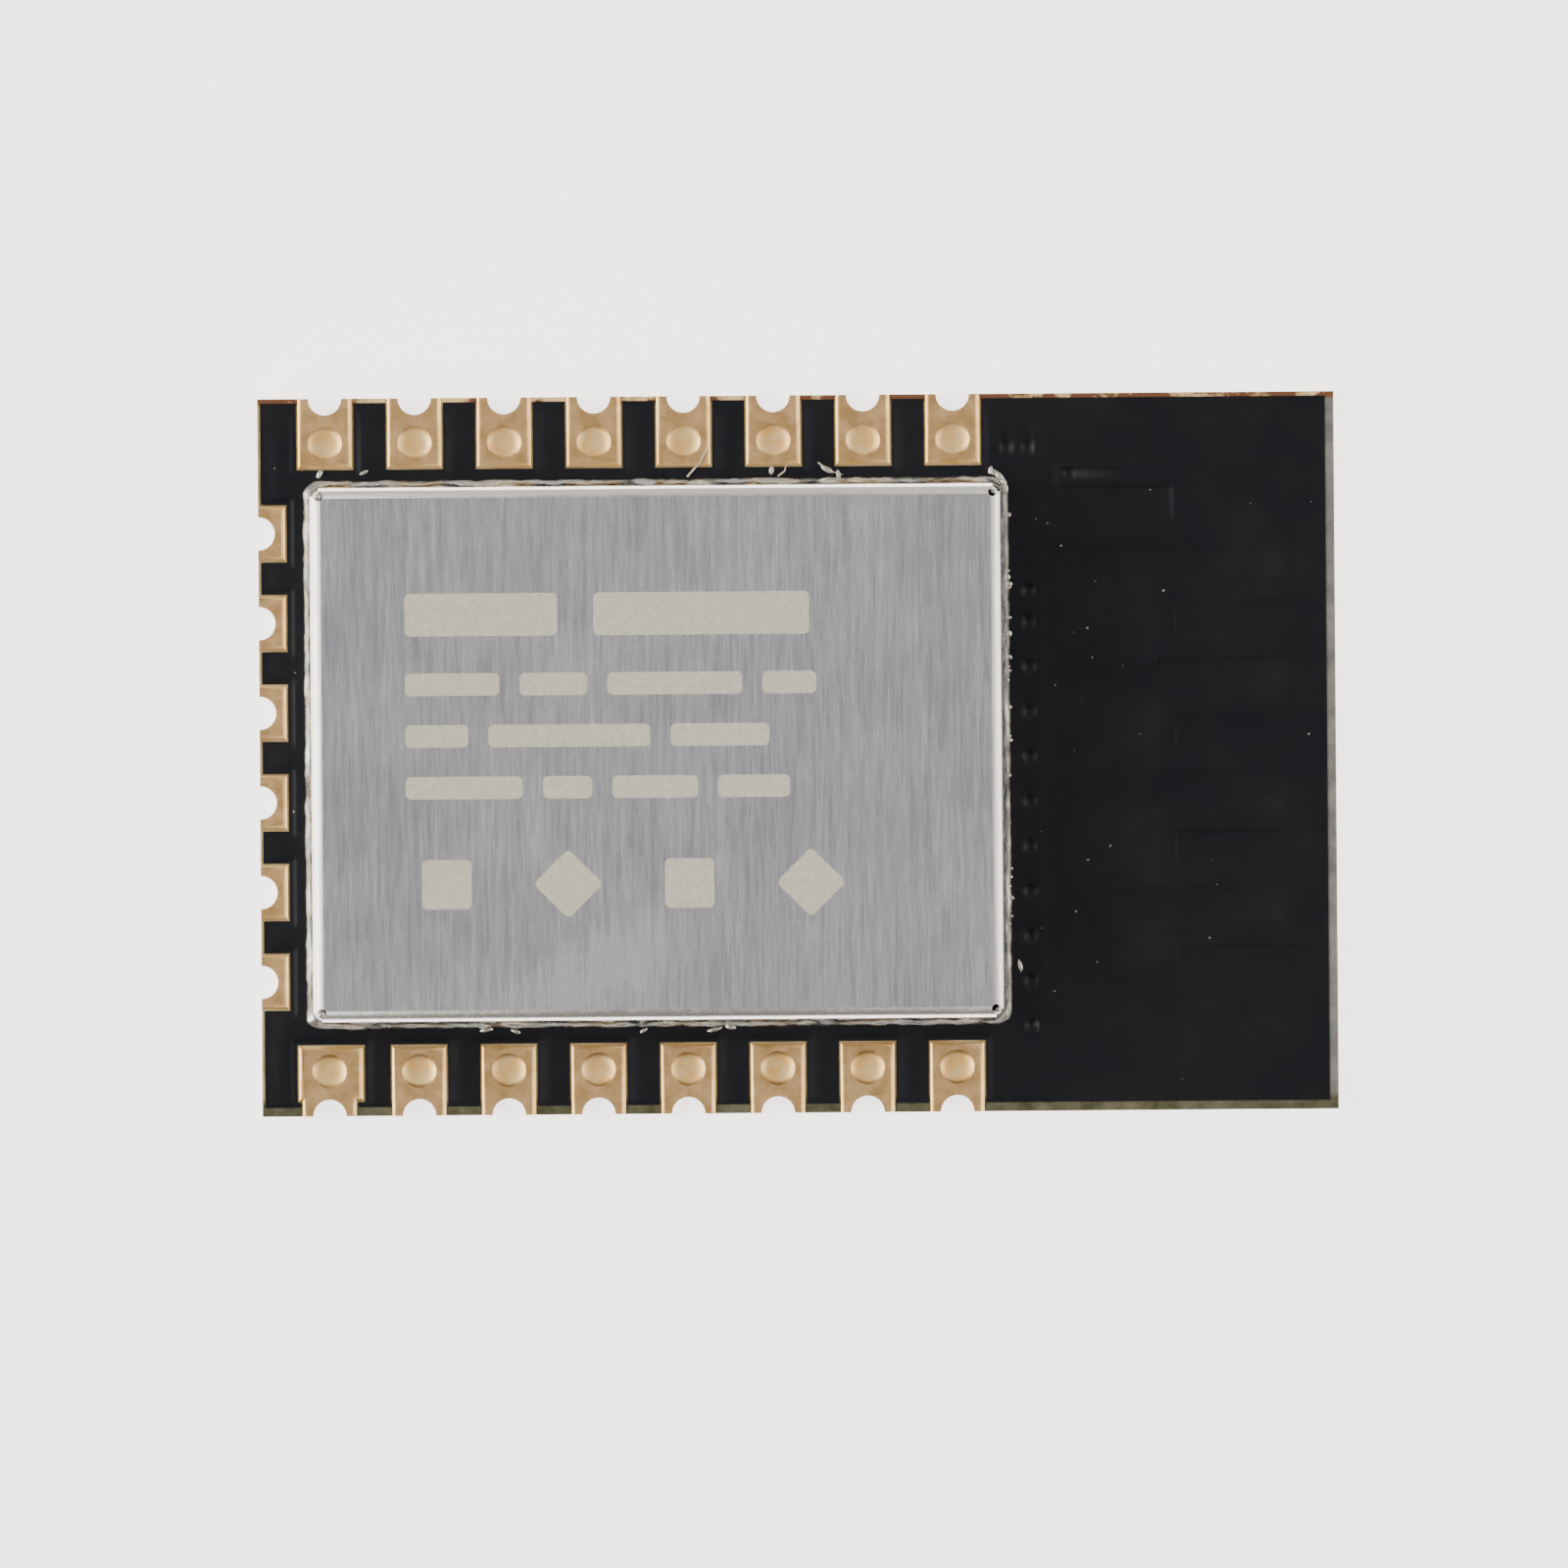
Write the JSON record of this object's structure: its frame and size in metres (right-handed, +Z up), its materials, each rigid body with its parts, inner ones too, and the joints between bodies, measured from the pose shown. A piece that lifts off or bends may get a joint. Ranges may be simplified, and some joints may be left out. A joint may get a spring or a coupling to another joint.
{
  "type": "wifi module",
  "caption": "Flat radio module with castellated solder terminals on three edges, a soldered metal shield can and a track antenna under black mask.",
  "frame": {"origin": "under the middle of the board, on the plane of the bottom lands", "axes": "+X along the length, towards the antenna end; +Y across the board; +Z up, away from the mounting side"},
  "size_m": [0.024, 0.016, 0.0031],
  "materials": {
    "laminate": "glass-fibre epoxy, routed edges",
    "copper": "plated copper under the mask",
    "mask": "black solder mask, satin",
    "gold_plate": "immersion gold over nickel",
    "can_sheet": "brushed nickel silver sheet",
    "solder": "reflowed lead-free solder",
    "moulding": "epoxy moulding compound",
    "lead_metal": "tin-plated lead frame",
    "ceramic_body": "fired ceramic",
    "crystal_metal": "plated alloy lid",
    "resistor_body": "glazed alumina",
    "inductor_body": "fired ferrite"
  },
  "bodies": {
    "root": {"laminate": "laminate", "ground_plane": "copper", "antenna": "copper", "mask_top": "mask", "mask_bottom": "mask", "shield_can": "can_sheet", "can_solder": "solder", "radio_chip": "moulding", "radio_chip_leads": "lead_metal", "flash_chip": "moulding", "flash_leads": "lead_metal", "crystal_base": "ceramic_body", "crystal_lid": "crystal_metal", "component_lands": "gold_plate", "component_solder": "solder", "capacitor_1": "ceramic_body", "capacitor_2": "ceramic_body", "capacitor_3": "ceramic_body", "capacitor_4": "ceramic_body", "capacitor_5": "ceramic_body", "capacitor_6": "ceramic_body", "capacitor_7": "ceramic_body", "capacitor_8": "ceramic_body", "resistor_1": "resistor_body", "resistor_2": "resistor_body", "resistor_3": "resistor_body", "resistor_4": "resistor_body", "inductor_1": "inductor_body", "inductor_2": "inductor_body", "inductor_3": "inductor_body", "terminal_01": "gold_plate", "terminal_02": "gold_plate", "terminal_03": "gold_plate", "terminal_04": "gold_plate", "terminal_05": "gold_plate", "terminal_06": "gold_plate", "terminal_07": "gold_plate", "terminal_08": "gold_plate", "terminal_09": "gold_plate", "terminal_10": "gold_plate", "terminal_11": "gold_plate", "terminal_12": "gold_plate", "terminal_13": "gold_plate", "terminal_14": "gold_plate", "terminal_15": "gold_plate", "terminal_16": "gold_plate", "terminal_17": "gold_plate", "terminal_18": "gold_plate", "terminal_19": "gold_plate", "terminal_20": "gold_plate", "terminal_21": "gold_plate", "terminal_22": "gold_plate"}
  },
  "joints": []
}
